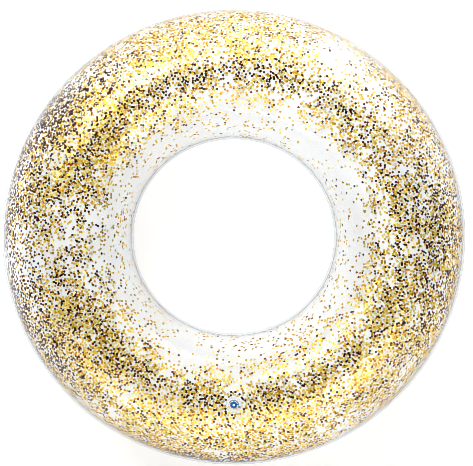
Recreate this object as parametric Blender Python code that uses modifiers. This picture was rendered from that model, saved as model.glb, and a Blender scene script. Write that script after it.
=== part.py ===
"""Clear inflatable swim ring with loose glitter inside and a push-in air valve.

Two ring-shaped sheets of clear film are welded together along the outer rim and along the rim of
the hole. The valve sits in the crown of the upper sheet, pushed in until its plug is nearly flush.
The ring lies flat: +Z is up, and the origin is at the centre of the hole, on the ground.
Every object is one piece of the ring, and sizes are in metres.
"""

import math

import bmesh
import bpy
from mathutils import Matrix, Vector

# ---- Driving dimensions of the ring ----
RING_DIAMETER = 0.900  # over the outer weld lip
HOLE_DIAMETER = 0.386  # inside the inner weld lip
WELD_LIP = 0.004  # flat welded band that stands out past the tube on both rims
FILM = 0.0003  # thickness of each sheet
LAND_WIDTH = 0.034  # flat strip along the crown, where the valve is welded, and along the underside
CLEARANCE = 0.0003  # between pieces that touch

# ---- Driving dimensions of the valve, heights counted from the outer face of the film ----
MOUTH_RADIUS = 0.0122  # round hole in the upper sheet
FLANGE_RADIUS = 0.0155  # disc welded under the upper sheet
FLANGE_BRIM = 0.0006
FLANGE_DEPTH = 0.0014
WELL_DEPTH = 0.0122  # from the film down to the middle of the diaphragm's fold
DIAPHRAGM = 0.0007  # wall of the rolling diaphragm
BORE_RADIUS = 0.0034  # takes a pump nozzle or a pair of lips
STEM_RADIUS = 0.0063
NECK_RADIUS = 0.0051
RIM_RADIUS = 0.0059
STEM_TOP = 0.0010
STEM_BOTTOM = -0.0132
COLLAR_TOP = -0.0009
COLLAR_BOTTOM = -0.0026
COLLAR_RADIUS = 0.0069
PLUG_RADIUS = 0.0063
PLUG_DISC = 0.0016
PEG_RADIUS = 0.0032
PEG_LENGTH = 0.0076
PEG_HOLLOW = 0.0019
TETHER_RADIUS = 0.0092  # the tether lies in the well, on this circle around the stem
TETHER_WIDTH = 0.0018
TETHER_THICKNESS = 0.0009
LUG_WIDTH = 0.0020
LUG_REACH = 0.0100
LUG_ROUNDING = 0.0008
PLUG_LUG_ANGLE = math.radians(5)
COLLAR_LUG_ANGLE = math.radians(150)
FLAP_RADIUS = 0.0045
FLAP = 0.0006
FLAP_HINGE = 0.0055  # from the stem's axis to the flap's hinge line
FLAP_TAB_WIDTH = 0.0030

# ---- Loose glitter ----
FLAKE_WIDTH = 0.0045  # across the corners of the hexagon
FLAKE = 0.00015
FLAKE_COUNT = 24
GOLDEN_ANGLE = math.pi * (3 - math.sqrt(5))

# ---- Worked out from the driving dimensions ----
CENTRE_RADIUS = (RING_DIAMETER + HOLE_DIAMETER) / 4
TUBE_RADIUS = (RING_DIAMETER - HOLE_DIAMETER) / 4 - WELD_LIP
SEAM_HEIGHT = math.sqrt(TUBE_RADIUS**2 - (LAND_WIDTH / 2) ** 2)
CROWN_HEIGHT = 2 * SEAM_HEIGHT
VALVE_PLACE = (0, -CENTRE_RADIUS, CROWN_HEIGHT)
PLUG_UNDERSIDE = STEM_TOP + CLEARANCE
PLUG_TOP = PLUG_UNDERSIDE + PLUG_DISC

# ---- Mesh steps ----
RING_STEPS = 72
TUBE_STEPS = 6
VALVE_STEPS = 32
CORNER_STEPS = 3
FOLD_STEPS = 8
TETHER_STEPS = 20


def clear_scene():
    for old in list(bpy.data.objects):
        bpy.data.objects.remove(old)


def new_collection(name):
    collection = bpy.data.collections.new(name)
    bpy.context.scene.collection.children.link(collection)
    return collection


def new_material(name, colour, roughness, metallic=0.0, alpha=1.0):
    material = bpy.data.materials.new(name)
    material.use_nodes = True
    shader = material.node_tree.nodes["Principled BSDF"]
    shader.inputs["Base Color"].default_value = (*colour, 1)
    shader.inputs["Roughness"].default_value = roughness
    shader.inputs["Metallic"].default_value = metallic
    shader.inputs["Alpha"].default_value = alpha
    return material


def add_object(name, data, collection, material=None, parent=None, location=(0, 0, 0)):
    made = bpy.data.objects.new(name, data)
    collection.objects.link(made)
    made.parent = parent
    made.location = location
    if material:
        data.materials.append(material)
    return made


def add_helper(name, data, parent=None, location=(0, 0, 0)):
    """A solid that only cuts or joins another."""
    made = add_object(name, data, cutters, parent=parent, location=location)
    made.hide_render = True
    made.display_type = "WIRE"
    return made


def rounded_outline(corners, closed=False):
    """Points of an outline whose corners are (radius, height, rounding)."""
    points = []
    for i, (radius, height, rounding) in enumerate(corners):
        corner = Vector((radius, height))
        if not rounding:
            points.append(corner)
            continue
        before = (Vector(corners[i - 1][:2]) - corner).normalized()
        after = (Vector(corners[(i + 1) % len(corners)][:2]) - corner).normalized()
        half_angle = before.angle(after) / 2
        centre = corner + (before + after).normalized() * rounding / math.sin(half_angle)
        start = corner + before * rounding / math.tan(half_angle) - centre
        end = corner + after * rounding / math.tan(half_angle) - centre
        for step in range(CORNER_STEPS + 1):
            spoke = start.lerp(end, step / CORNER_STEPS).normalized() * rounding
            points.append(centre + spoke)
    if closed:
        points.append(points[0])
    return points


def outline_mesh(name, points):
    """Edges through (radius, height) points in the XZ plane. A last point equal to the first closes them."""
    closed = (points[0] - points[-1]).length < 1e-9
    kept = points[:-1] if closed else points
    mesh = bpy.data.meshes.new(name)
    edges = [(i, i + 1) for i in range(len(kept) - 1)]
    if closed:
        edges.append((len(kept) - 1, 0))
    mesh.from_pydata([(x, 0, z) for x, z in kept], edges, [])
    return mesh


def turn(obj, steps):
    """Turns an outline about the object's own Z axis."""
    screw = obj.modifiers.new("turned", "SCREW")
    screw.axis = "Z"
    screw.steps = screw.render_steps = steps
    screw.use_merge_vertices = True
    screw.merge_threshold = 0.00001
    screw.use_smooth_shade = True


def thicken(obj, thickness, offset):
    solidify = obj.modifiers.new("wall", "SOLIDIFY")
    solidify.thickness = thickness
    solidify.offset = offset
    solidify.use_even_offset = True


def combine(obj, other, operation):
    boolean = obj.modifiers.new(operation.lower(), "BOOLEAN")
    boolean.operation = operation
    boolean.solver = "EXACT"
    boolean.object = other


def cylinder_mesh(name, radius, depth, steps):
    """An upright cylinder or prism centred on its own origin."""
    mesh = bpy.data.meshes.new(name)
    shape = bmesh.new()
    bmesh.ops.create_cone(
        shape, cap_ends=True, segments=steps, radius1=radius, radius2=radius, depth=depth
    )
    shape.to_mesh(mesh)
    shape.free()
    return mesh


def box_mesh(name, size, centre):
    """A box of that size about a centre of its own."""
    mesh = bpy.data.meshes.new(name)
    shape = bmesh.new()
    bmesh.ops.create_cube(shape, size=1)
    bmesh.ops.scale(shape, vec=size, verts=shape.verts)
    bmesh.ops.translate(shape, vec=centre, verts=shape.verts)
    shape.to_mesh(mesh)
    shape.free()
    return mesh


def film_section():
    """Section of one sheet above the seam, from the inner lip over the crown to the outer lip."""
    lip_height = CLEARANCE / 2 + FILM
    lip_angle = math.asin(lip_height / TUBE_RADIUS)
    land_angle = math.acos(LAND_WIDTH / 2 / TUBE_RADIUS)
    rise = [lip_angle + (land_angle - lip_angle) * i / TUBE_STEPS for i in range(TUBE_STEPS + 1)]
    inner_side = [(math.pi - angle) for angle in rise]
    outer_side = rise[::-1]
    arcs = [
        Vector((CENTRE_RADIUS + TUBE_RADIUS * math.cos(a), TUBE_RADIUS * math.sin(a)))
        for a in inner_side + outer_side
    ]
    inner_edge = Vector((HOLE_DIAMETER / 2, lip_height))
    outer_edge = Vector((RING_DIAMETER / 2, lip_height))
    return [inner_edge, *arcs, outer_edge]


def make_films():
    """The upper and lower sheets, which meet at the two weld lips."""
    section = film_section()
    upper = add_object("upper_film", outline_mesh("upper_film", section), ring, clear_film)
    underside = [Vector((radius, -height)) for radius, height in reversed(section)]
    lower = add_object("lower_film", outline_mesh("lower_film", underside), ring, clear_film)
    for film in (upper, lower):
        film.location.z = SEAM_HEIGHT
        turn(film, RING_STEPS)
        thicken(film, FILM, -1)
    hole = add_helper(
        "valve_hole_cutter",
        cylinder_mesh("valve_hole_cutter", MOUTH_RADIUS, LAND_WIDTH / 2, VALVE_STEPS),
        location=VALVE_PLACE,
    )
    combine(upper, hole, "DIFFERENCE")


def make_valve_flange():
    """Disc welded to the inner face of the film, thicker where the diaphragm joins it."""
    top = -FILM - CLEARANCE
    inner = MOUTH_RADIUS - CLEARANCE
    corners = [
        (inner, top, 0),
        (FLANGE_RADIUS, top, 0),
        (FLANGE_RADIUS, top - FLANGE_BRIM, 0.0002),
        (inner + 0.0018, top - FLANGE_BRIM, 0.0003),
        (inner + 0.0011, top - FLANGE_DEPTH, 0.0003),
        (inner, top - FLANGE_DEPTH, 0),
    ]
    outline = outline_mesh("valve_flange", rounded_outline(corners, closed=True))
    turn(add_object("valve_flange", outline, ring, clear_vinyl, valve_axis), VALVE_STEPS)


def make_valve_diaphragm():
    """Soft web that lets the stem be pushed in: down the well's wall, round a fold and up to the stem."""
    wall = MOUTH_RADIUS - 2 * CLEARANCE - DIAPHRAGM / 2
    stem_side = STEM_RADIUS + CLEARANCE + DIAPHRAGM / 2
    fold_outer = wall - 0.0007
    fold_radius = (fold_outer - stem_side) / 2
    fold_centre = Vector((stem_side + fold_radius, -WELL_DEPTH + fold_radius))
    fold_angles = [math.pi * (1 + i / FOLD_STEPS) for i in range(FOLD_STEPS + 1)]
    fold = [fold_centre + fold_radius * Vector((math.cos(a), math.sin(a))) for a in fold_angles]
    section = [
        Vector((stem_side, fold_centre.y + 0.0010)),
        *fold,
        Vector((wall - 0.0002, -0.0030)),
        Vector((wall, -0.0002)),
    ]
    outline = outline_mesh("valve_diaphragm", section[::-1])
    web = add_object("valve_diaphragm", outline, ring, clear_vinyl, valve_axis)
    turn(web, VALVE_STEPS)
    thicken(web, DIAPHRAGM, 0)


def make_valve_stem():
    """Tube for the pump nozzle, with a rim and a neck that hold the tether's collar."""
    corners = [
        (BORE_RADIUS, STEM_TOP, 0.0003),
        (RIM_RADIUS, STEM_TOP, 0.0005),
        (RIM_RADIUS, COLLAR_TOP + 2 * CLEARANCE, 0.0003),
        (NECK_RADIUS, COLLAR_TOP + CLEARANCE, 0),
        (NECK_RADIUS, COLLAR_BOTTOM - CLEARANCE, 0),
        (STEM_RADIUS, COLLAR_BOTTOM - CLEARANCE, 0.0004),
        (STEM_RADIUS, STEM_BOTTOM, 0.0004),
        (BORE_RADIUS, STEM_BOTTOM, 0.0002),
    ]
    outline = outline_mesh("valve_stem", rounded_outline(corners, closed=True))
    turn(add_object("valve_stem", outline, ring, clear_vinyl, valve_axis), VALVE_STEPS)


def make_check_flap():
    """Thin disc that closes the bottom of the bore, on a tab that bends at the hinge line."""
    hinge_line = (FLAP_HINGE, 0, STEM_BOTTOM - CLEARANCE)
    disc = cylinder_mesh("check_flap", FLAP_RADIUS, FLAP, VALVE_STEPS)
    disc.transform(Matrix.Translation((-FLAP_HINGE, 0, -FLAP / 2)))
    flap = add_object("check_flap", disc, ring, clear_vinyl, valve_axis, hinge_line)
    tab_length = FLAP_HINGE - FLAP_RADIUS / 2
    tab = box_mesh(
        "flap_tab",
        (tab_length, FLAP_TAB_WIDTH, FLAP * 0.8),
        (-tab_length / 2, 0, -FLAP * 0.4),
    )
    combine(flap, add_helper("flap_tab", tab, valve_axis, hinge_line), "UNION")


def lug_mesh(name, angle, root, bottom, top):
    """Radial lug with a rounded end, which reaches out to the end of the tether."""
    mesh = bpy.data.meshes.new(name)
    shape = bmesh.new()
    bmesh.ops.create_cube(shape, size=1)
    bmesh.ops.scale(shape, vec=(LUG_REACH - root, LUG_WIDTH, top - bottom), verts=shape.verts)
    bmesh.ops.translate(shape, vec=((LUG_REACH + root) / 2, 0, (top + bottom) / 2), verts=shape.verts)
    corners = [
        edge
        for edge in shape.edges
        if all(abs(vert.co.x - LUG_REACH) < 1e-6 for vert in edge.verts)
        and abs(edge.verts[0].co.y - edge.verts[1].co.y) < 1e-6
    ]
    bmesh.ops.bevel(
        shape, geom=corners, offset=LUG_ROUNDING, segments=CORNER_STEPS, profile=0.5, affect="EDGES"
    )
    bmesh.ops.rotate(shape, matrix=Matrix.Rotation(angle, 3, "Z"), verts=shape.verts)
    shape.to_mesh(mesh)
    shape.free()
    return mesh


def make_tether_collar():
    """Ring snapped round the stem's neck, which carries the tether."""
    corners = [
        (NECK_RADIUS + CLEARANCE, COLLAR_TOP, 0),
        (COLLAR_RADIUS, COLLAR_TOP, 0.0003),
        (COLLAR_RADIUS, COLLAR_BOTTOM, 0.0003),
        (NECK_RADIUS + CLEARANCE, COLLAR_BOTTOM, 0),
    ]
    outline = outline_mesh("tether_collar", rounded_outline(corners, closed=True))
    collar = add_object("tether_collar", outline, ring, blue_vinyl, valve_axis)
    turn(collar, VALVE_STEPS)
    inset = 0.0003
    lug = lug_mesh(
        "collar_lug", COLLAR_LUG_ANGLE, COLLAR_RADIUS - 0.0008, COLLAR_BOTTOM + inset, COLLAR_TOP - inset
    )
    combine(collar, add_helper("collar_lug", lug, valve_axis), "UNION")


def make_valve_plug():
    """Disc with a hollow tapered peg that closes the bore."""
    hollow_floor = PLUG_UNDERSIDE - PEG_LENGTH + 0.0010
    corners = [
        (0, hollow_floor, 0),
        (PEG_HOLLOW - 0.0003, hollow_floor, 0),
        (PEG_HOLLOW, PLUG_TOP - 0.0004, 0),
        (PEG_HOLLOW + 0.0004, PLUG_TOP, 0),
        (PLUG_RADIUS, PLUG_TOP, 0.0006),
        (PLUG_RADIUS, PLUG_UNDERSIDE, 0.0004),
        (PEG_RADIUS - 0.0002, PLUG_UNDERSIDE, 0),
        (PEG_RADIUS - 0.0002, PLUG_UNDERSIDE - 0.0040, 0),
        (PEG_RADIUS, PLUG_UNDERSIDE - 0.0048, 0.0003),
        (PEG_RADIUS - 0.0006, PLUG_UNDERSIDE - PEG_LENGTH, 0.0003),
        (0, PLUG_UNDERSIDE - PEG_LENGTH, 0),
    ]
    outline = outline_mesh("valve_plug", rounded_outline(corners))
    plug = add_object("valve_plug", outline, ring, blue_vinyl, valve_axis)
    turn(plug, VALVE_STEPS)
    inset = 0.0002
    lug = lug_mesh(
        "plug_lug", PLUG_LUG_ANGLE, PLUG_RADIUS - 0.0010, PLUG_UNDERSIDE + inset, PLUG_TOP - inset
    )
    combine(plug, add_helper("plug_lug", lug, valve_axis), "UNION")


def make_plug_tether():
    """Strap that lies round the stem in the well and rises from the collar's lug to the plug's."""
    lug_share = (LUG_WIDTH / 2 + CLEARANCE) / TETHER_RADIUS
    first, last = COLLAR_LUG_ANGLE - lug_share, PLUG_LUG_ANGLE + lug_share
    low = (COLLAR_TOP + COLLAR_BOTTOM) / 2
    high = (PLUG_TOP + PLUG_UNDERSIDE) / 2
    curve = bpy.data.curves.new("plug_tether", "CURVE")
    curve.dimensions = "3D"
    curve.bevel_depth = TETHER_THICKNESS / 2
    curve.bevel_resolution = 2
    curve.extrude = (TETHER_WIDTH - TETHER_THICKNESS) / 2
    curve.use_fill_caps = True
    path = curve.splines.new("POLY")
    path.points.add(TETHER_STEPS)
    for i, point in enumerate(path.points):
        share = i / TETHER_STEPS
        angle = first + (last - first) * share
        eased = share * share * (3 - 2 * share)
        point.co = (
            TETHER_RADIUS * math.cos(angle),
            TETHER_RADIUS * math.sin(angle),
            low + (high - low) * eased,
            1,
        )
        point.tilt = math.pi / 2
    add_object("plug_tether", curve, ring, blue_vinyl, valve_axis)


def make_glitter():
    """Loose flakes at rest on the inner face of the lower film. They share one mesh."""
    mesh = cylinder_mesh("glitter_flake", FLAKE_WIDTH / 2, FLAKE, 6)
    mesh.materials.append(gold_foil)
    spread = LAND_WIDTH - 2 * FLAKE_WIDTH
    for i in range(FLAKE_COUNT):
        angle = i * GOLDEN_ANGLE
        radius = CENTRE_RADIUS + spread * (i * GOLDEN_ANGLE % 1 - 0.5)
        flake = add_object(f"glitter_flake_{i + 1:02d}", mesh, ring)
        flake.location = (
            radius * math.cos(angle),
            radius * math.sin(angle),
            FILM + CLEARANCE + FLAKE / 2,
        )
        flake.rotation_euler.z = angle


clear_scene()
ring = new_collection("swim_ring")
cutters = new_collection("cutters")
clear_film = new_material("clear_film", (0.93, 0.96, 0.98), 0.08, alpha=0.25)
clear_vinyl = new_material("clear_vinyl", (0.86, 0.90, 0.94), 0.25, alpha=0.5)
blue_vinyl = new_material("blue_vinyl", (0.02, 0.22, 0.65), 0.30)
gold_foil = new_material("gold_foil", (0.83, 0.58, 0.13), 0.25, metallic=0.9)
valve_axis = add_object("valve_axis", None, ring, location=VALVE_PLACE)

make_films()
make_valve_flange()
make_valve_diaphragm()
make_valve_stem()
make_check_flap()
make_tether_collar()
make_valve_plug()
make_plug_tether()
make_glitter()
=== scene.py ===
"""Clear inflatable swim ring with gold glitter and a push-in valve: the looks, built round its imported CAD.

Sizes are in metres, +Z is up, and the ring lies flat with the centre of its hole over the origin.
A place on a sheet of film is given by its bearing round the ring and its turn round the tube's
section: 0 at the outer seam, a quarter turn at the crown or the underside, half a turn at the inner
seam. Valve outlines are (distance from the valve's axis, height over the outer face of the film).
"""

import math

import bpy
import numpy as np
from mathutils import Matrix, Vector, kdtree, noise


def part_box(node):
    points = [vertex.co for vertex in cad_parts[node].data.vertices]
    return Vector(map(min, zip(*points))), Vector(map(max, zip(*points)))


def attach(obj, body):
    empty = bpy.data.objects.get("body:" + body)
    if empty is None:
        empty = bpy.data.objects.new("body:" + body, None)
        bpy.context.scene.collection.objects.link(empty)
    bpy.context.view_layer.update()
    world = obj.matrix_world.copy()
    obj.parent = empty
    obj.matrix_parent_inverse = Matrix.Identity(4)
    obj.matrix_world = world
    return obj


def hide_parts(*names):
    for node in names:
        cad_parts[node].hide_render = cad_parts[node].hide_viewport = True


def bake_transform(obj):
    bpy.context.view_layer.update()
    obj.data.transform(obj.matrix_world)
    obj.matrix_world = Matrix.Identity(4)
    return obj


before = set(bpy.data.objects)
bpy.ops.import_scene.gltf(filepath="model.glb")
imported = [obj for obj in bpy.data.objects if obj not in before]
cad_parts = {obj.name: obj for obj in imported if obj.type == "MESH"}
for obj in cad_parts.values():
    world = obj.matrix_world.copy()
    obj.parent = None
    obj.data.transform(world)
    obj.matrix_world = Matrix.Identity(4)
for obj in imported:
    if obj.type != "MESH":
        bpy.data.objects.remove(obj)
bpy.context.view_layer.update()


def least_reach(node):
    """Distance from the Z axis to the nearest point of a CAD node."""
    return min(math.hypot(vertex.co.x, vertex.co.y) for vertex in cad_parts[node].data.vertices)


# ---- The ring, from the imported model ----
UPPER_LOW, UPPER_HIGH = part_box("upper_film")
LOWER_LOW, LOWER_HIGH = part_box("lower_film")
RIM_RADIUS = UPPER_HIGH.x
HOLE_RADIUS = least_reach("upper_film")
CROWN = UPPER_HIGH.z
SEAM = (UPPER_LOW.z + LOWER_HIGH.z) / 2
LIP = 0.004  # welded band that stands out past the tube
FILM = 0.0003
CENTRE = (RIM_RADIUS + HOLE_RADIUS) / 2
TUBE = (RIM_RADIUS - HOLE_RADIUS) / 2 - LIP
OVAL = 0.0032  # the inflated ring is that much wider in X and narrower in Y than a circle
LIP_GAP = 0.00005  # from the seam's plane to the inner face of each sheet at the weld

# ---- Mesh steps of the film ----
RING_STEPS = 720
SECTION_STEPS = 48
SEAM_CROWDING = 0.6  # how far the section's points crowd towards the seams, from 0 to 1

# ---- Creases that run in from the seams ----
OUTER_CREASES = 86
INNER_CREASES = 44
CREASE_WIDTH = 0.0042
CREASE_FLARE = 0.16  # how much a crease widens along its length
CREASE_RISE = 0.006  # from the weld to where a crease is deepest
LIP_WAVE = 0.0009
LIP_WAVE_FADE = 0.010

# ---- Painted shade: grey haze that dulls the film round the hole, but for one lit stretch in degrees ----
SHADED_WALL_FROM = 0.225
SHADED_WALL_TO = 0.290
LIT_WALL_MIDDLE = 285
LIT_WALL_SPREAD = 50
LIT_WALL_SHARE = 0.8  # share of the painted shade that is missing in the middle of the lit stretch

# ---- Glitter ----
FLAKE_WIDTH = 0.0050
FLAKE_THICKNESS = 0.00015
FLAKE_TOP = 0.94  # width of a flake's upper face, as a share of the lower one
FLAKE_TILT = math.radians(12)
FLAKE_GAP = 0.0001
FLAKE_TRIES = 110000  # places tried on each sheet
FLAKE_SPACING = 0.0036  # least distance between the middles of two flakes on a sheet
FLAKES_IN_PIECE = 8000
SEAM_MARGIN = 0.03  # turn in radians, next to each seam, that stays free of glitter
GLITTER_SEEDS = {1: 21, -1: 22}  # for the upper and the lower sheet
SHADE_SPREAD = (1.6, 1.0)  # the two shape values of a beta distribution
DARK_FLAKE_SHADE = 0.16  # the lightest shade of a dark flake, tarnished at random or placed as painted shade
BRIGHT_SHADE = 0.24  # the darkest shade of a bright one

# Share of the tries that are kept, which grows outwards over these bands: (from, to, growth)
THINNEST = 0.03
THICKENING = [(0.235, 0.28, 0.14), (0.275, 0.335, 0.23)]

# Clumps of three widths: (weight, clumps in a metre), and the least and most they do to the density
CLUMPS = [(1.2, 14), (1.4, 38), (1.0, 90)]
CLUMP_LIMITS = (0.05, 2.8)

# Places where the glitter has gathered, or has left the film clear where the gain is negative:
# (bearing and its spread in degrees, distance from the Z axis and its spread, gain)
DRIFTS = [
    (146, 0.340, 15, 0.062, 2.6),
    (212, 0.352, 13, 0.040, 2.3),
    (345, 0.370, 20, 0.070, 0.9),
    (34, 0.375, 15, 0.060, -0.4),
    (298, 0.325, 26, 0.016, 0.8),
    (240, 0.410, 26, 0.030, 0.5),
    (265, 0.440, 22, 0.006, 3.0),
    (60, 0.405, 17, 0.040, -1.0),
    (50, 0.245, 42, 0.030, -0.9),
    (184, 0.390, 10, 0.050, -0.7),
    (300, 0.440, 10, 0.010, -0.8),
    (245, 0.235, 20, 0.030, -0.6),
    (140, 0.270, 20, 0.030, 1.2),
    (200, 0.265, 20, 0.030, 0.8),
    (300, 0.250, 25, 0.025, 0.9),
    (245, 0.290, 20, 0.025, 0.5),
]

# Places where more of the flakes are dark, as painted shade where the slopes face away from the lamps, in
# the same form with the added share as the gain
PAINTED_SHADE_PATCHES = [
    (144, 0.420, 19, 0.045, 0.55),
    (204, 0.420, 24, 0.045, 0.42),
    (172, 0.440, 36, 0.020, 0.45),
    (175, 0.330, 50, 0.060, 0.20),
    (2, 0.400, 42, 0.080, 0.30),
    (85, 0.322, 62, 0.018, 0.36),
    (268, 0.325, 60, 0.016, 0.34),
    (265, 0.443, 18, 0.006, 0.90),
]
TARNISHED_ANYWHERE = 0.09

# ---- The valve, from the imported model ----
VALVE_LOW, VALVE_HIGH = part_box("valve_stem")
VALVE = Vector(((VALVE_LOW.x + VALVE_HIGH.x) / 2, (VALVE_LOW.y + VALVE_HIGH.y) / 2, CROWN))
VALVE_STEPS = 96
MOUTH_RADIUS = 0.0122
VALVE_FLAT = 0.017  # round the valve the film is level
VALVE_FLAT_FADE = 0.045
VALVE_CLEAR = {1: 0.017, -1: 0.024}  # radius free of glitter on the upper and on the lower sheet
CORNER_STEPS = 4
PAINTED_GLOW_RADII = (0.0019, 0.0024)  # radii over which the painted light at the floor of the hollow peg, pale and glowing, fades out

# ---- Studio ----
FLOOR_SIZE = 60
FLOOR_DROP = 0.0005  # gap between the ring's lowest point and the floor
ROOM_DIM = 0.06
FAR_SCREEN = 1.1
NEAR_SCREEN = 2.0
SCREEN_EDGE = (0.2, 0.45)  # share of the direction that points at a screen, over which it fades in
BACKDROP = 1.0
CAMERA_RISE = 4.7
VIEW_WIDTH = 0.9262
VIEW_MIDDLE = (0.0053, 0.0065)


# ======== Shape of the film ========


def smoothstep(low, high, value):
    share = np.clip((value - low) / (high - low), 0, 1)
    return share * share * (3 - 2 * share)


class Creases:
    """Creases along one seam of one sheet. Both sheets fold at the same bearings, each to its own depth."""

    def __init__(self, count, seam_radius, depth, length, seed):
        draw = np.random.default_rng(seed)
        pitch = 2 * math.pi / count
        self.seam_radius = seam_radius
        self.bearing = (np.arange(count) + draw.uniform(-0.4, 0.4, count)) * pitch
        self.slant = draw.normal(0, 0.55, count)
        self.width = CREASE_WIDTH * draw.uniform(0.7, 1.4, count)
        self.length = length * draw.uniform(0.35, 1.3, (2, count))
        self.depth = depth * draw.uniform(0.1, 1.0, (2, count)) ** 1.6

    def fold_in(self, bearing, from_seam, side):
        """How far the film is folded in at places that far from the seam."""
        sheet = 0 if side > 0 else 1
        total = np.zeros_like(bearing)
        rise = 1 - np.exp(-np.maximum(from_seam, 0) / CREASE_RISE)
        for i in range(len(self.bearing)):
            apart = bearing - self.bearing[i] - self.slant[i] * from_seam / self.seam_radius
            apart = (apart + math.pi) % (2 * math.pi) - math.pi
            width = self.width[i] + CREASE_FLARE * from_seam
            across = np.exp(-((apart * self.seam_radius / width) ** 2))
            along = np.exp(-((from_seam / self.length[sheet, i]) ** 2))
            total += self.depth[sheet, i] * across * along
        return total * rise


OUTER = Creases(OUTER_CREASES, RIM_RADIUS - LIP, 0.0030, 0.036, 11)
INNER = Creases(INNER_CREASES, HOLE_RADIUS + LIP, 0.0022, 0.030, 12)


def lip_wave(bearing):
    """Slow up and down wave of the welded lips."""
    waves = ((37, 0.4, 1.0), (53, 2.1, 0.8), (86, 4.4, 0.7), (19, 1.3, 0.5))
    return LIP_WAVE * sum(size * np.sin(count * bearing + start) for count, start, size in waves) / 2


def film_places(bearing, turn, side, depth=0.0, lip=0.0):
    """Points of a sheet, side 1 for the upper and -1 for the lower, sunk by depth or out on a lip."""
    from_outer = TUBE * turn
    from_inner = TUBE * (math.pi - turn)
    folded = OUTER.fold_in(bearing, from_outer, side) + INNER.fold_in(bearing, from_inner, side)
    section = TUBE - depth - folded
    radius = CENTRE + section * np.cos(turn) + OVAL * np.cos(2 * bearing) + lip * np.sign(np.cos(turn))
    wave = lip_wave(bearing) * np.exp(-np.minimum(from_outer, from_inner) / LIP_WAVE_FADE)
    height = SEAM + side * section * np.sin(turn)
    height = np.maximum(height + wave, LOWER_LOW.z + depth)
    points = np.stack([radius * np.cos(bearing), radius * np.sin(bearing), height], axis=-1)
    if side > 0:
        from_valve = np.hypot(points[..., 0] - VALVE.x, points[..., 1] - VALVE.y)
        level = 1 - smoothstep(VALVE_FLAT, VALVE_FLAT_FADE, from_valve)
        points[..., 2] += level * (CROWN - depth - points[..., 2])
    return points


# ======== Modelling steps that several pieces share ========


def deselect_all():
    if bpy.context.mode != "OBJECT":
        bpy.ops.object.mode_set(mode="OBJECT")
    bpy.ops.object.select_all(action="DESELECT")


def name_piece(name):
    """Names the active object and its mesh, and puts its place into the mesh."""
    piece = bpy.context.active_object
    piece.name = piece.data.name = name
    bpy.ops.object.transform_apply(location=True, rotation=True, scale=True)
    return piece


def make_active(piece):
    deselect_all()
    piece.select_set(True)
    bpy.context.view_layer.objects.active = piece


def edit_with_selected(piece, wanted):
    """Enters edit mode with only the vertices selected for which wanted is true."""
    make_active(piece)
    bpy.ops.object.mode_set(mode="EDIT")
    bpy.ops.mesh.select_mode(type="VERT")
    bpy.ops.mesh.select_all(action="DESELECT")
    bpy.ops.object.mode_set(mode="OBJECT")
    for vertex in piece.data.vertices:
        vertex.select = wanted(vertex.co)
    bpy.ops.object.mode_set(mode="EDIT")


def points_of(mesh):
    points = np.empty(len(mesh.vertices) * 3)
    mesh.vertices.foreach_get("co", points)
    return points.reshape(-1, 3)


def set_points(mesh, points):
    mesh.vertices.foreach_set("co", points.astype(np.float32).ravel())
    mesh.update()


def set_attribute(mesh, name, values):
    attribute = mesh.attributes.new(name, "FLOAT", "POINT")
    attribute.data.foreach_set("value", np.asarray(values, np.float32))


def apply_modifier(piece, kind, settings):
    make_active(piece)
    modifier = piece.modifiers.new(kind.lower(), kind)
    for name, value in settings.items():
        setattr(modifier, name, value)
    bpy.ops.object.modifier_apply(modifier=modifier.name)


def combine(piece, other, operation):
    """Joins other to a piece or cuts it away, and removes it."""
    apply_modifier(piece, "BOOLEAN", {"operation": operation, "object": other, "solver": "EXACT"})
    bpy.data.objects.remove(other)


def smooth_by_angle(piece, degrees=35):
    make_active(piece)
    bpy.ops.object.shade_smooth_by_angle(angle=math.radians(degrees))


def rounded_outline(corners, closed=False):
    """Points of an outline whose corners are (radius, height, rounding)."""
    points = []
    for i, (radius, height, rounding) in enumerate(corners):
        corner = Vector((radius, height))
        if not rounding:
            points.append(corner)
            continue
        before = (Vector(corners[i - 1][:2]) - corner).normalized()
        after = (Vector(corners[(i + 1) % len(corners)][:2]) - corner).normalized()
        half_angle = before.angle(after) / 2
        middle = corner + (before + after).normalized() * rounding / math.sin(half_angle)
        start = corner + before * rounding / math.tan(half_angle) - middle
        end = corner + after * rounding / math.tan(half_angle) - middle
        for step in range(CORNER_STEPS + 1):
            spoke = start.lerp(end, step / CORNER_STEPS).normalized() * rounding
            points.append(middle + spoke)
    if closed:
        points.append(points[0])
    return points


def turn_outline(name, outline):
    """Draws a valve outline with extrude, and spins it about the valve's axis."""
    deselect_all()
    places = [Vector((VALVE.x + radius, VALVE.y, VALVE.z + height)) for radius, height in outline]
    bpy.ops.mesh.primitive_plane_add(size=FILM, location=places[0])
    bpy.ops.object.mode_set(mode="EDIT")
    bpy.ops.mesh.merge(type="CENTER")
    for before, after in zip(places, places[1:]):
        bpy.ops.mesh.extrude_region_move(TRANSFORM_OT_translate={"value": after - before})
    bpy.ops.mesh.select_all(action="SELECT")
    bpy.ops.mesh.remove_doubles(threshold=1e-6)
    bpy.ops.mesh.spin(steps=VALVE_STEPS, angle=2 * math.pi, center=VALVE, axis=(0, 0, 1))
    bpy.ops.mesh.select_all(action="SELECT")
    bpy.ops.mesh.remove_doubles(threshold=1e-6)
    bpy.ops.mesh.normals_make_consistent(inside=False)
    bpy.ops.object.mode_set(mode="OBJECT")
    return name_piece(name)


def bevelled_block(name, size, middle, bevel):
    """A block about its middle in valve coordinates, with all its edges rounded."""
    deselect_all()
    bpy.ops.mesh.primitive_cube_add(size=1, location=VALVE + Vector(middle), scale=size)
    block = name_piece(name)
    apply_modifier(block, "BEVEL", {"width": bevel, "segments": 3, "limit_method": "NONE"})
    return block


def turn_about_valve(piece, angle):
    """Turns a piece about the valve's axis."""
    about = Matrix.Translation(VALVE) @ Matrix.Rotation(angle, 4, "Z") @ Matrix.Translation(-VALVE)
    piece.data.transform(about)


# ======== Finishes ========


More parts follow.
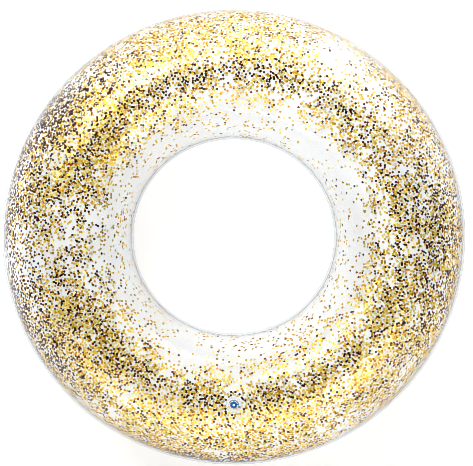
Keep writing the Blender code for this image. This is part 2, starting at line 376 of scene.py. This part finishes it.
class Socket:
    """An output of a shader node. Arithmetic on it adds Math nodes."""

    def __init__(self, finish, output):
        self.finish = finish
        self.output = output

    def math(self, operation, first, second):
        return self.finish.add("ShaderNodeMath", {"operation": operation}, {0: first, 1: second})

    def __add__(self, other):
        return self.math("ADD", self, other)

    def __radd__(self, other):
        return self.math("ADD", other, self)

    def __sub__(self, other):
        return self.math("SUBTRACT", self, other)

    def __rsub__(self, other):
        return self.math("SUBTRACT", other, self)

    def __mul__(self, other):
        return self.math("MULTIPLY", self, other)

    def __rmul__(self, other):
        return self.math("MULTIPLY", other, self)

    def __pow__(self, other):
        return self.math("POWER", self, other)

    def __rpow__(self, other):
        return self.math("POWER", other, self)


class Finish:
    """A node tree as it is written, for a material or for the world."""

    def __init__(self, tree):
        self.tree = tree
        tree.nodes.clear()

    def add(self, kind, settings=None, inputs=None, output=0):
        """Adds a node, sets it up, links or fills its inputs and returns one of its outputs."""
        node = self.tree.nodes.new(kind)
        for name, value in (settings or {}).items():
            if name == "stops":
                while len(node.color_ramp.elements) < len(value):
                    node.color_ramp.elements.new(1)
                for element, (position, colour) in zip(node.color_ramp.elements, value):
                    element.position = position
                    element.color = (*colour, 1)
            else:
                setattr(node, name, value)
        for name, value in (inputs or {}).items():
            if isinstance(value, Socket):
                self.tree.links.new(value.output, node.inputs[name])
            else:
                node.inputs[name].default_value = value
        return Socket(self, node.outputs[output]) if node.outputs else None

    def place(self):
        return self.add("ShaderNodeTexCoord", output="Object")

    def attribute(self, name):
        return self.add("ShaderNodeAttribute", {"attribute_name": name}, output="Fac")

    def noise(self, scale, detail=2.0):
        inputs = {"Vector": self.place(), "Scale": scale, "Detail": detail}
        return self.add("ShaderNodeTexNoise", inputs=inputs, output="Fac")

    def rise(self, value, low, high):
        """0 where value is under low and 1 where it is over high, with a smooth step between."""
        inputs = {"Value": value, "From Min": low, "From Max": high}
        return self.add("ShaderNodeMapRange", {"interpolation_type": "SMOOTHSTEP"}, inputs)

    def ramp(self, value, *stops):
        return self.add("ShaderNodeValToRGB", {"stops": stops}, {"Fac": value}, "Color")

    def bump(self, height, distance, strength=1.0):
        inputs = {"Height": height, "Distance": distance, "Strength": strength}
        return self.add("ShaderNodeBump", inputs=inputs)

    def mix(self, share, first, second):
        return self.add("ShaderNodeMixShader", inputs={0: share, 1: first, 2: second})

    def blend(self, share, first, second):
        """A colour between two."""
        return self.add("ShaderNodeMix", {"data_type": "RGBA"}, {0: share, 6: first, 7: second}, 2)

    def solid(
        self, base, roughness, normal, alpha=1.0, metallic=0.0, glow=0.0, glow_colour=(1, 1, 1, 1),
        shine=0.5, edge_tint=(1, 1, 1, 1)
    ):
        """Ends the tree in a Principled shader."""
        inputs = {"Base Color": base, "Roughness": roughness, "Normal": normal}
        inputs.update({"Alpha": alpha, "Metallic": metallic})
        inputs.update({"Specular IOR Level": shine, "Specular Tint": edge_tint})
        inputs.update({"Emission Color": glow_colour, "Emission Strength": glow})
        self.show(self.add("ShaderNodeBsdfPrincipled", inputs=inputs))

    def show(self, surface):
        self.add("ShaderNodeOutputMaterial", inputs={"Surface": surface})


def new_finish(name):
    material = bpy.data.materials.new(name)
    material.use_nodes = True
    return material, Finish(material.node_tree)


def clear_film_finish():
    """Thin clear film that mirrors more at grazing angles, cloudy at the welds, and grey round the hole as
    painted shade.
    """
    material, finish = new_finish("film")
    weld = finish.attribute("weld")
    ripple = finish.noise(34, 3)
    orange_peel = finish.noise(420)
    weld_grain = finish.noise(1500)
    relief = finish.bump(ripple + orange_peel * 0.04 + weld_grain * weld * 0.2, 0.0016)
    clear = finish.add("ShaderNodeBsdfTransparent", inputs={"Color": (0.982, 0.988, 0.994, 1)})
    haze = finish.add("ShaderNodeBsdfDiffuse", inputs={"Color": (0.44, 0.46, 0.51, 1)})
    gloss = finish.add(
        "ShaderNodeBsdfGlossy", inputs={"Color": (0.75, 0.76, 0.77, 1), "Roughness": 0.05, "Normal": relief}
    )
    fresnel = finish.add("ShaderNodeFresnel", inputs={"IOR": 1.34, "Normal": relief})
    front = 1 - finish.add("ShaderNodeNewGeometry", output="Backfacing")
    edge_on = finish.add("ShaderNodeLayerWeight", inputs={"Blend": 0.5}, output="Facing")
    # painted shade: grey haze on the walls round the hole, thinner where the wall faces the lamps
    dust = finish.attribute("dust") * (0.6 + finish.noise(6) * 0.8)
    plain = 0.002 + finish.noise(9) * 0.006
    cloudy = plain + weld * 0.025 + dust * 0.065 + edge_on ** 7 * 0.20
    body = finish.mix(cloudy * front, clear, haze)
    surface = finish.mix(fresnel * front, body, gloss)
    finish.show(surface)
    return material


def clear_vinyl_finish():
    """Thicker soft vinyl of the valve's housing, a little milky and blue."""
    material, finish = new_finish("valve_vinyl")
    cloud = finish.noise(260, 3)
    base = finish.ramp(cloud, (0.3, (0.62, 0.68, 0.78)), (0.7, (0.80, 0.84, 0.92)))
    relief = finish.bump(finish.noise(1900), 0.0001, 0.6)
    finish.solid(base, 0.16 + cloud * 0.14, relief, alpha=0.14 + cloud * 0.16)
    return material


def distance_in_plan(finish, middle):
    """Distance from a vertical line, in metres."""
    settings = {"vector_type": "POINT"}
    centred = finish.add("ShaderNodeMapping", settings, {"Vector": finish.place(), "Location": -middle})
    flat = finish.add("ShaderNodeVectorMath", {"operation": "MULTIPLY"}, {0: centred, 1: (1, 1, 0)})
    return finish.add("ShaderNodeVectorMath", {"operation": "LENGTH"}, {0: flat}, "Value")


def plug_vinyl_finish():
    """Moulded blue vinyl with flow marks. The floor of the hollow peg is painted light: pale and glowing,
    standing in for light seen through it.
    """
    material, finish = new_finish("plug_vinyl")
    flow = finish.noise(330, 4)
    body = finish.ramp(flow, (0.25, (0.0, 0.045, 0.22)), (0.75, (0.0, 0.11, 0.38)))
    # painted light: a pale, glowing spot at the floor of the hollow peg
    floor = 1 - finish.rise(distance_in_plan(finish, VALVE), *PAINTED_GLOW_RADII)
    base = finish.blend(floor, body, (0.45, 0.85, 0.92, 1))
    glow = finish.blend(floor, (0, 0, 0, 1), (0.45, 0.85, 0.95, 1))
    relief = finish.bump(finish.noise(2400), 0.0001, 0.5)
    finish.solid(base, 0.24 + flow * 0.2, relief, glow_colour=glow, glow=1.0)
    return material


def strap_vinyl_finish():
    """The strap and its collar, moulded in a greener blue that looks deep only where it is thick."""
    material, finish = new_finish("strap_vinyl")
    flow = finish.noise(270, 4)
    base = finish.ramp(flow, (0.25, (0.002, 0.13, 0.22)), (0.75, (0.01, 0.26, 0.38)))
    relief = finish.bump(finish.noise(2400), 0.0001, 0.5)
    thick = finish.attribute("thick")
    finish.solid(base, 0.24 + flow * 0.2, relief, alpha=0.42 + thick * 0.58)
    return material


def gold_foil_finish():
    """Punched foil: each flake has its own shade between dark bronze and pale gold; the dark ones in patches
    are painted shade.
    """
    material, finish = new_finish("glitter_foil")
    shade = finish.attribute("shade")
    base = finish.ramp(
        shade,
        (0.0, (0.012, 0.002, 0.0)),
        (0.16, (0.10, 0.021, 0.0)),
        (0.34, (0.44, 0.16, 0.001)),
        (0.52, (0.84, 0.46, 0.008)),
        (0.76, (1.0, 0.73, 0.08)),
        (1.0, (1.0, 0.92, 0.42)),
    )
    relief = finish.bump(finish.noise(1400), 0.00008, 0.5)
    edge_tint = (0.45, 0.22, 0.05, 1)
    finish.solid(base, 0.30 + shade * 0.12, relief, metallic=0.97, shine=0.1, edge_tint=edge_tint)
    return material


# ======== Film ========


def make_film(name, side, material):
    """One sheet: half a section with its lips, spun into a ring, shaped and walled."""
    deselect_all()
    bpy.ops.mesh.primitive_circle_add(
        vertices=2 * SECTION_STEPS, radius=TUBE, location=(CENTRE, 0, SEAM), rotation=(math.pi / 2, 0, 0)
    )
    piece = name_piece(name)
    edit_with_selected(piece, lambda place: side * (place.z - SEAM) < -1e-6)
    bpy.ops.mesh.delete(type="VERT")
    for outwards in (1, -1):
        edge = CENTRE + outwards * (TUBE - FILM)
        edit_with_selected(piece, lambda place: outwards * (place.x - edge) > 0)
        bpy.ops.mesh.extrude_region_move(TRANSFORM_OT_translate={"value": (outwards * LIP, 0, 0)})
    bpy.ops.mesh.select_all(action="SELECT")
    bpy.ops.mesh.spin(steps=RING_STEPS, angle=2 * math.pi, center=(0, 0, SEAM), axis=(0, 0, 1))
    bpy.ops.mesh.select_all(action="SELECT")
    bpy.ops.mesh.remove_doubles(threshold=1e-5)
    bpy.ops.mesh.normals_make_consistent(inside=False)
    bpy.ops.object.mode_set(mode="OBJECT")
    shape_film(piece.data, side)
    crown_face = max(piece.data.polygons, key=lambda face: side * face.center.z)
    if crown_face.normal.z * side < 0:
        piece.data.flip_normals()
    apply_modifier(piece, "SOLIDIFY", {"thickness": FILM, "offset": -1})
    piece.data.materials.append(material)
    smooth_by_angle(piece, 60)
    return piece


def shape_film(mesh, side):
    """Moves the points of a plain half torus with lips to where the film really lies."""
    points = points_of(mesh)
    bearing = np.arctan2(points[:, 1], points[:, 0])
    out = np.hypot(points[:, 0], points[:, 1]) - CENTRE
    up = np.abs(points[:, 2] - SEAM)
    turn = np.arctan2(up, np.clip(out, -TUBE, TUBE))
    lip = np.maximum(np.abs(out) - TUBE, 0)
    even = turn / math.pi
    turn = math.pi * (even - SEAM_CROWDING * np.sin(2 * math.pi * even) / (2 * math.pi))
    places = film_places(bearing, turn, side, lip=lip)
    from_seam = TUBE * np.minimum(turn, math.pi - turn)
    places[:, 2] += side * (FILM + LIP_GAP) * np.exp(-from_seam / FILM)
    set_points(mesh, places)
    set_attribute(mesh, "weld", np.where(from_seam < FILM, 1.0, 0.0))
    # painted shade round the hole, less of it at the stretch whose wall faces the lamps
    shaded_wall = 1 - smoothstep(SHADED_WALL_FROM, SHADED_WALL_TO, np.hypot(places[:, 0], places[:, 1]))
    shaded_wall[from_seam < FILM] = 0
    from_lit_middle = (np.degrees(bearing) - LIT_WALL_MIDDLE + 180) % 360 - 180
    set_attribute(mesh, "dust", shaded_wall * (1 - LIT_WALL_SHARE * np.exp(-((from_lit_middle / LIT_WALL_SPREAD) ** 2))))


def pierce_film(upper):
    """Cuts the round hole for the valve."""
    deselect_all()
    bpy.ops.mesh.primitive_cylinder_add(
        vertices=VALVE_STEPS, radius=MOUTH_RADIUS, depth=VALVE_FLAT, location=VALVE
    )
    combine(upper, name_piece("valve_hole"), "DIFFERENCE")


# ======== Glitter ========


def model_flake():
    """One punched hexagon of foil about the origin, its upper face a little smaller."""
    deselect_all()
    bpy.ops.mesh.primitive_cylinder_add(
        vertices=6, radius=FLAKE_WIDTH / 2, depth=FLAKE_THICKNESS, location=(0, 0, 0)
    )
    flake = name_piece("flake")
    edit_with_selected(flake, lambda place: place.z > 0)
    bpy.ops.transform.resize(value=(FLAKE_TOP, FLAKE_TOP, 1))
    bpy.ops.object.mode_set(mode="OBJECT")
    return flake


def patches(spots, bearing, turn):
    """The summed gains of round patches, each strongest in its middle, at places on the film."""
    degrees = np.degrees(bearing) % 360
    radius = CENTRE + TUBE * np.cos(turn)
    total = np.zeros_like(bearing)
    for middle, middle_radius, spread, radius_spread, gain in spots:
        apart = ((degrees - middle + 180) % 360 - 180) / spread
        across = (radius - middle_radius) / radius_spread
        total += gain * np.exp(-(apart**2) - across**2)
    return total


def drift(points, bearing, turn):
    """How densely glitter has gathered at places on the film."""
    radius = CENTRE + TUBE * np.cos(turn)
    base = np.full_like(radius, THINNEST)
    for low, high, growth in THICKENING:
        base += growth * smoothstep(low, high, radius)
    gathered = 1 + patches(DRIFTS, bearing, turn)
    clumps = np.array([
        sum(weight * noise.noise(place * scale) for weight, scale in CLUMPS)
        for place in map(Vector, points)
    ])
    return base * np.maximum(gathered, 0) * np.clip(1 + clumps, *CLUMP_LIMITS)


def keep_apart(points, spacing):
    """Marks the points that lie at least that far from every kept one before them."""
    tree = kdtree.KDTree(len(points))
    for i, point in enumerate(points):
        tree.insert(point, i)
    tree.balance()
    kept = np.ones(len(points), bool)
    for i, point in enumerate(points):
        if kept[i]:
            later = [near for _, near, _ in tree.find_range(point, spacing) if near > i]
            kept[later] = False
    return kept


def scatter_flakes(flake, side):
    """Points and shades of the flakes that cling to the inner face of one sheet."""
    draw = np.random.default_rng(GLITTER_SEEDS[side])
    bearing = draw.uniform(0, 2 * math.pi, FLAKE_TRIES)
    turn = draw.uniform(SEAM_MARGIN, math.pi - SEAM_MARGIN, FLAKE_TRIES)
    chance = draw.random(FLAKE_TRIES)
    fair = (CENTRE + TUBE * np.cos(turn)) / RIM_RADIUS
    places = film_places(bearing, turn, side)
    kept = chance < fair * drift(places, bearing, turn)
    kept &= np.linalg.norm(places[:, :2] - np.array(VALVE.xy), axis=1) > VALVE_CLEAR[side]
    bearing, turn = bearing[kept], turn[kept]
    kept = keep_apart(places[kept], FLAKE_SPACING)
    bearing, turn = bearing[kept], turn[kept]
    tilt = np.abs(draw.normal(0, FLAKE_TILT / 2, len(bearing))).clip(0, FLAKE_TILT * 2)
    depth = FILM + FLAKE_GAP + FLAKE_THICKNESS / 2 + np.sin(tilt) * FLAKE_WIDTH / 2
    step = 1e-3
    places = film_places(bearing, turn, side, depth)
    along = film_places(bearing + step, turn, side, depth) - places
    across = film_places(bearing, turn + step, side, depth) - places
    along /= np.linalg.norm(along, axis=1, keepdims=True)
    normal = np.cross(along, across)
    normal /= np.linalg.norm(normal, axis=1, keepdims=True)
    across = np.cross(normal, along)
    heading = draw.uniform(0, 2 * math.pi, (len(bearing), 1))
    level = along * np.cos(heading) + across * np.sin(heading)
    third = np.cross(normal, level)
    tilted = third * np.cos(tilt)[:, None] + normal * np.sin(tilt)[:, None]
    up = np.cross(level, tilted)
    shape = points_of(flake.data)
    points = (
        places[:, None]
        + shape[None, :, :1] * level[:, None]
        + shape[None, :, 1:2] * tilted[:, None]
        + shape[None, :, 2:] * up[:, None]
    )
    # Dark flakes: a share tarnished at random anywhere, and more as painted shade in patches that face away
    # from the lamps.
    tarnished_or_shaded = draw.random(len(bearing)) < TARNISHED_ANYWHERE + patches(PAINTED_SHADE_PATCHES, bearing, turn)
    shade = draw.beta(*SHADE_SPREAD, len(bearing))
    bright = BRIGHT_SHADE + (1 - BRIGHT_SHADE) * shade
    return points, np.where(tarnished_or_shaded, DARK_FLAKE_SHADE * shade, bright)


def make_glitter(material):
    """All the flakes, in a few pieces, each flake a copy of one model."""
    flake = model_flake()
    faces = [list(face.vertices) for face in flake.data.polygons]
    corners = len(flake.data.vertices)
    sheets = [scatter_flakes(flake, side) for side in (1, -1)]
    bpy.data.objects.remove(flake)
    points = np.concatenate([sheet[0] for sheet in sheets])
    shades = np.concatenate([sheet[1] for sheet in sheets])
    pieces = []
    for first in range(0, len(points), FLAKES_IN_PIECE):
        batch = points[first : first + FLAKES_IN_PIECE]
        name = f"glitter_{len(pieces) + 1}"
        mesh = bpy.data.meshes.new(name)
        mesh.from_pydata(
            batch.reshape(-1, 3).tolist(),
            [],
            [[corner + corners * i for corner in face] for i in range(len(batch)) for face in faces],
        )
        set_attribute(mesh, "shade", np.repeat(shades[first : first + FLAKES_IN_PIECE], corners))
        mesh.materials.append(material)
        piece = bpy.data.objects.new(name, mesh)
        bpy.context.scene.collection.objects.link(piece)
        pieces.append(piece)
    return pieces


# ======== Valve ========


def make_flange():
    """Disc welded under the film, with a hub that carries the diaphragm and ribs across the brim."""
    corners = [
        (0.0119, -0.0006, 0),
        (0.0155, -0.0006, 0.0001),
        (0.0155, -0.0011, 0.0002),
        (0.0149, -0.0012, 0.0001),
        (0.0146, -0.0015, 0.0001),
        (0.0141, -0.0015, 0.0001),
        (0.0138, -0.0012, 0.0002),
        (0.0131, -0.0012, 0.0003),
        (0.0129, -0.0020, 0.0002),
        (0.0119, -0.0020, 0),
    ]
    flange = turn_outline("valve_flange_moulding", rounded_outline(corners, closed=True))
    smooth_by_angle(flange)
    return flange


def make_diaphragm():
    """Soft web from the flange down the well, round a fold and up to the stem."""
    thickness = 0.0007
    wall = 0.01125
    leg = 0.00695
    fold_outer = wall - thickness
    fold_bottom = -0.0122
    leg_height = 0.0010
    wall_top = -0.0002
    fold_radius = (fold_outer - leg) / 2
    fold_middle = Vector((leg + fold_radius, fold_bottom + fold_radius))
    line = [Vector((leg, fold_middle.y + leg_height))]
    fold_steps = 20
    for i in range(fold_steps + 1):
        angle = math.pi * (1 + i / fold_steps)
        line.append(fold_middle + fold_radius * Vector((math.cos(angle), math.sin(angle))))
    wall_steps = 12
    start = line[-1].copy()
    for i in range(1, wall_steps + 1):
        line.append(start.lerp(Vector((wall, wall_top)), i / wall_steps))
    web = turn_outline("valve_diaphragm_web", line)
    apply_modifier(web, "SOLIDIFY", {"thickness": thickness, "offset": 0, "use_even_offset": True})
    smooth_by_angle(web)
    return web


def make_stem():
    """Tube for the nozzle, with a rim, a neck for the collar and grip rings."""
    corners = [
        (0.0034, 0.0010, 0.0003),
        (0.0059, 0.0010, 0.0005),
        (0.0059, -0.0003, 0.0003),
        (0.0051, -0.0006, 0),
        (0.0051, -0.0029, 0.0002),
        (0.0063, -0.0029, 0.0004),
    ]
    for top in (-0.0046, -0.0060, -0.0074):
        corners += [(0.0063, top, 0.0001), (0.0066, top - 0.0002, 0.0001), (0.0063, top - 0.0005, 0.0001)]
    corners += [
        (0.0063, -0.0132, 0.0004),
        (0.0049, -0.0132, 0.0001),
        (0.0048, -0.0130, 0.0001),
        (0.0044, -0.0130, 0.0001),
        (0.0043, -0.0132, 0.0001),
        (0.0034, -0.0132, 0.0002),
    ]
    stem = turn_outline("valve_stem_moulding", rounded_outline(corners, closed=True))
    smooth_by_angle(stem)
    return stem


def make_flap():
    """Check flap with a raised seat ring, on a tab that bends at the hinge line."""
    corners = [
        (0, -0.0137, 0),
        (0.0027, -0.0137, 0.0001),
        (0.0029, -0.0135, 0.0001),
        (0.0040, -0.0135, 0.0001),
        (0.0045, -0.0137, 0.0001),
        (0.0045, -0.0141, 0.0001),
        (0, -0.0141, 0),
    ]
    flap = turn_outline("check_flap_moulding", rounded_outline(corners))
    tab = bevelled_block("flap_tab", (0.0026, 0.0030, 0.0004), (0.0042, 0, -0.0138), 0.00012)
    combine(flap, tab, "UNION")
    smooth_by_angle(flap)
    return flap


def make_collar():
    """Ring snapped round the stem's neck, with the lug that carries the strap."""
    corners = [
        (0.0054, -0.0009, 0.0001),
        (0.0069, -0.0009, 0.0003),
        (0.0069, -0.0026, 0.0003),
        (0.0054, -0.0026, 0.0001),
    ]
    collar = turn_outline("tether_collar_moulding", rounded_outline(corners, closed=True))
    lug = bevelled_block("collar_lug", (0.0039, 0.0020, 0.0011), (0.00805, 0, -0.00175), 0.0003)
    turn_about_valve(lug, math.radians(150))
    combine(collar, lug, "UNION")
    smooth_by_angle(collar)
    return collar


def make_plug():
    """Disc with a dished face and a hollow, slightly barbed peg."""
    corners = [
        (0, -0.0053, 0),
        (0.0016, -0.0053, 0.0002),
        (0.0019, 0.0026, 0.0002),
        (0.0023, 0.0029, 0.0002),
        (0.0029, 0.0029, 0.0002),
        (0.0032, 0.0026, 0.0002),
        (0.0046, 0.0026, 0.0003),
        (0.0050, 0.0029, 0.0003),
        (0.0063, 0.0029, 0.0006),
        (0.0063, 0.0013, 0.0005),
        (0.0030, 0.0013, 0.0003),
        (0.0030, -0.0027, 0.0002),
        (0.0032, -0.0034, 0.0003),
        (0.0026, -0.0063, 0.0004),
        (0, -0.0063, 0),
    ]
    plug = turn_outline("valve_plug_moulding", rounded_outline(corners))
    lug = bevelled_block("plug_lug", (0.0047, 0.0020, 0.0012), (0.00765, 0, 0.0021), 0.0003)
    turn_about_valve(lug, math.radians(5))
    combine(plug, lug, "UNION")
    smooth_by_angle(plug)
    return plug


def make_strap():
    """Flat strap round the stem, from the collar's lug up to the plug's. Its plug end is marked thick."""
    steps = 64
    radius = 0.0092
    first, last = math.radians(142), math.radians(13)
    low, high = -0.00175, 0.0021
    thick_from, thick_to = math.radians(55), math.radians(35)
    quarter_width = 0.00045
    curve = bpy.data.curves.new("plug_strap", "CURVE")
    curve.dimensions = "3D"
    curve.bevel_depth = quarter_width
    curve.bevel_resolution = 3
    curve.extrude = quarter_width
    curve.use_fill_caps = True
    path = curve.splines.new("POLY")
    path.points.add(steps)
    for i, point in enumerate(path.points):
        share = i / steps
        angle = first + (last - first) * share
        eased = share * share * (3 - 2 * share)
        place = Vector((radius * math.cos(angle), radius * math.sin(angle), low + (high - low) * eased))
        point.co = (*(VALVE + place), 1)
        point.tilt = math.pi / 2
    strap = bpy.data.objects.new("plug_strap", curve)
    bpy.context.scene.collection.objects.link(strap)
    make_active(strap)
    bpy.ops.object.convert(target="MESH")
    points = points_of(strap.data) - np.array(VALVE)
    along = np.arctan2(points[:, 1], points[:, 0])
    set_attribute(strap.data, "thick", 1 - smoothstep(thick_to, thick_from, along))
    smooth_by_angle(strap)
    return strap


def finish_valve(piece, material, node, body):
    """Gives a piece its material, hides the CAD node it stands for and hangs it on its body. A piece that
    bends has no body here.
    """
    piece.data.materials.clear()
    piece.data.materials.append(material)
    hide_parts(node)
    if body:
        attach(piece, body)
    return piece


# ======== Studio ========


def make_floor():
    deselect_all()
    bpy.ops.mesh.primitive_plane_add(size=FLOOR_SIZE, location=(0, 0, -FLOOR_DROP))
    floor = name_piece("floor")
    material, finish = new_finish("floor_paint")
    base = finish.ramp(finish.noise(3), (0.3, (0.93, 0.93, 0.93)), (0.7, (0.95, 0.95, 0.95)))
    finish.solid(base, 0.6, finish.bump(finish.noise(60), 0.0002), glow=0.24)
    floor.data.materials.append(material)


def make_sky():
    """A dim room with a large white screen at the far end and a lower one at the near end."""
    world = bpy.data.worlds.new("studio")
    bpy.context.scene.world = world
    world.use_nodes = True
    finish = Finish(world.node_tree)
    direction = finish.add("ShaderNodeTexCoord", output="Generated")
    along = finish.add("ShaderNodeSeparateXYZ", inputs={0: direction}, output="Y")
    height = finish.add("ShaderNodeSeparateXYZ", inputs={0: direction}, output="Z")
    far_screen = finish.rise(along, *SCREEN_EDGE)
    near_screen = finish.rise(0 - along, *SCREEN_EDGE) * finish.rise(height, *SCREEN_EDGE)
    brightness = ROOM_DIM + FAR_SCREEN * far_screen + NEAR_SCREEN * near_screen
    seen_directly = finish.add("ShaderNodeLightPath", output="Is Camera Ray")
    brightness = brightness + (BACKDROP - brightness) * seen_directly
    background = finish.add("ShaderNodeBackground", inputs={"Strength": brightness})
    finish.add("ShaderNodeOutputWorld", inputs={"Surface": background})


def add_soft_box(name, bearing, from_zenith, distance, size, power):
    """A rectangular light that faces the ring's centre. Bearing and height are in degrees."""
    around, down = math.radians(bearing), math.radians(from_zenith)
    aim = Vector((math.cos(around) * math.sin(down), math.sin(around) * math.sin(down), math.cos(down)))
    data = bpy.data.lights.new(name, "AREA")
    data.shape = "RECTANGLE"
    data.size, data.size_y = size
    data.energy = power
    light = bpy.data.objects.new(name, data)
    light.location = aim * distance
    light.rotation_mode = "QUATERNION"
    light.rotation_quaternion = aim.to_track_quat("Z", "Y")
    bpy.context.scene.collection.objects.link(light)


def add_camera():
    """Straight above the ring, from a few metres up."""
    data = bpy.data.cameras.new("camera")
    data.sensor_width = 36
    data.lens = data.sensor_width * CAMERA_RISE / VIEW_WIDTH
    camera = bpy.data.objects.new("camera", data)
    camera.location = (*VIEW_MIDDLE, SEAM + CAMERA_RISE)
    bpy.context.scene.collection.objects.link(camera)
    bpy.context.scene.camera = camera


# ======== Build ========

film_material = clear_film_finish()
vinyl_material = clear_vinyl_finish()
plug_material = plug_vinyl_finish()
strap_material = strap_vinyl_finish()
foil_material = gold_foil_finish()

upper = make_film("upper_film_skin", 1, film_material)
pierce_film(upper)
lower = make_film("lower_film_skin", -1, film_material)
for skin, node in ((upper, "upper_film"), (lower, "lower_film")):
    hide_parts(node)
    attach(skin, "root")

glitter = make_glitter(foil_material)
for piece in glitter:
    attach(piece, "root")
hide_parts(*[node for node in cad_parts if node.startswith("glitter_flake")])

finish_valve(make_flange(), vinyl_material, "valve_flange", "root")
finish_valve(make_stem(), vinyl_material, "valve_stem", "stem")
finish_valve(make_flap(), vinyl_material, "check_flap", "flap")
finish_valve(make_collar(), strap_material, "tether_collar", "collar")
finish_valve(make_plug(), plug_material, "valve_plug", "plug")
web = finish_valve(make_diaphragm(), vinyl_material, "valve_diaphragm", None)
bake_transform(web)
strap = finish_valve(make_strap(), strap_material, "plug_tether", None)
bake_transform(strap)

make_floor()
make_sky()
add_soft_box("key_light", bearing=126, from_zenith=34, distance=3.2, size=(1.3, 0.7), power=45)
add_soft_box("side_light", bearing=72, from_zenith=68, distance=3.4, size=(2.4, 0.7), power=40)
add_camera()
bpy.context.scene.view_settings.view_transform = "Standard"
bpy.context.scene.cycles.transparent_max_bounces = 32
bpy.context.scene.cycles.filter_width = 0.5
